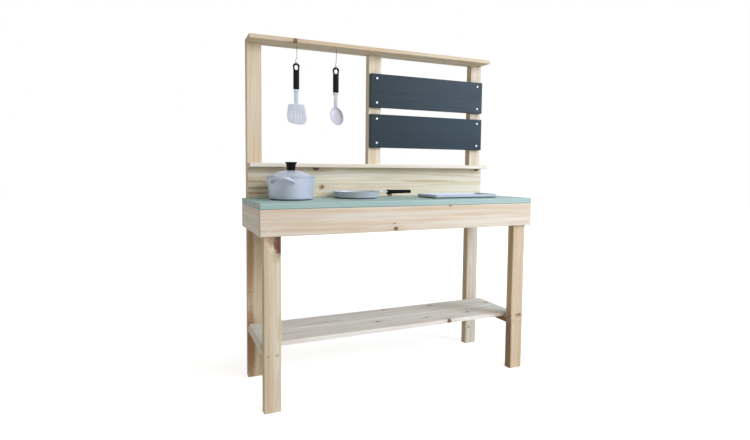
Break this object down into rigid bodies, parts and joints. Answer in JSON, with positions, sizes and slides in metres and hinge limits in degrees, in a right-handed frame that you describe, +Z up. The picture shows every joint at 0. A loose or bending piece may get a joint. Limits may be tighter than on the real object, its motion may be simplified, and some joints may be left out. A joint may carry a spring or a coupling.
{
  "type": "mud kitchen",
  "caption": "Child's wooden outdoor play kitchen: worktop, backsplash, chalkboard planks and shelves on a four-post frame, with pot, pan, tray and hanging tools.",
  "frame": {"origin": "on the ground, under the middle of the unit's width and depth", "axes": "+X to the right seen from the front, +Y to the back, +Z up"},
  "size_m": [1, 0.3, 1.176],
  "materials": {
    "softwood": "planed pale fir, unvarnished, with small knots",
    "mint_paint": "pale mint green satin stain over the grain",
    "chalk_paint": "matt slate-grey chalkboard paint",
    "screw_steel": "bright zinc-plated",
    "hook_steel": "bright drawn wire",
    "black_plastic": "moulded, semi-matt black",
    "grey_nylon": "moulded, pale grey satin",
    "pan_metal": "satin grey"
  },
  "bodies": {
    "root": {"left_front_leg": "softwood", "right_front_leg": "softwood", "left_back_post": "softwood", "right_back_post": "softwood", "middle_upright": "softwood", "front_apron": "softwood", "left_side_apron": "softwood", "right_side_apron": "softwood", "rear_rail": "softwood", "worktop_batten": "softwood", "backsplash": "softwood", "mid_shelf": "softwood", "top_shelf": "softwood", "left_shelf_bearer": "softwood", "right_shelf_bearer": "softwood", "lower_shelf_front_board": "softwood", "lower_shelf_rear_board": "softwood", "worktop_plank_1": "mint_paint", "worktop_plank_2": "mint_paint", "worktop_plank_3": "mint_paint", "worktop_plank_4": "mint_paint", "chalkboard_lower": "chalk_paint", "chalkboard_upper": "chalk_paint", "chalkboard_screw_1": "screw_steel", "chalkboard_screw_2": "screw_steel", "chalkboard_screw_3": "screw_steel", "chalkboard_screw_4": "screw_steel", "chalkboard_screw_5": "screw_steel", "chalkboard_screw_6": "screw_steel", "chalkboard_screw_7": "screw_steel", "chalkboard_screw_8": "screw_steel", "front_apron_screw_1": "screw_steel", "front_apron_screw_2": "screw_steel", "left_side_apron_screw_1": "screw_steel", "left_side_apron_screw_2": "screw_steel", "right_side_apron_screw_1": "screw_steel", "right_side_apron_screw_2": "screw_steel", "front_bearer_screw_1": "screw_steel", "front_bearer_screw_2": "screw_steel", "rear_bearer_screw_1": "screw_steel", "rear_bearer_screw_2": "screw_steel", "top_shelf_screw_1": "screw_steel", "top_shelf_screw_2": "screw_steel", "top_shelf_screw_3": "screw_steel", "left_hook": "hook_steel", "right_hook": "hook_steel"},
    "pot": {"pot_body": "pan_metal", "pot_near_handle": "pan_metal", "pot_far_handle": "pan_metal"},
    "lid": {"pot_lid": "pan_metal", "lid_knob": "black_plastic", "lid_knob_screw": "screw_steel"},
    "pan": {"pan_body": "pan_metal", "pan_neck": "pan_metal", "pan_grip": "black_plastic"},
    "tray": {"tray": "pan_metal"},
    "spatula": {"spatula_handle": "black_plastic", "spatula_blade": "grey_nylon"},
    "spoon": {"spoon_handle": "black_plastic", "spoon_bowl": "grey_nylon"}
  },
  "joints": [
    {"name": "pot_lift", "type": "slide", "parent": "root", "child": "pot", "axis": [0, -0.5, 0.866], "range_m": [0, 0.15]},
    {"name": "lid_lift", "type": "slide", "parent": "pot", "child": "lid", "axis": [0, -0.5, 0.866], "range_m": [0, 0.1]},
    {"name": "pan_lift", "type": "slide", "parent": "root", "child": "pan", "axis": [0, -0.5, 0.866], "range_m": [0, 0.12]},
    {"name": "tray_lift", "type": "slide", "parent": "root", "child": "tray", "axis": [0, 0, 1], "range_m": [0, 0.12]},
    {"name": "spatula_swing", "type": "hinge", "parent": "root", "child": "spatula", "pos_m": [-0.31583, 0.106, 1.0941], "axis": [0, 1, 0], "range_deg": [-25, 60]},
    {"name": "spoon_swing", "type": "hinge", "parent": "root", "child": "spoon", "pos_m": [-0.16746, 0.106, 1.0921], "axis": [0, 1, 0], "range_deg": [-35, 25]}
  ]
}
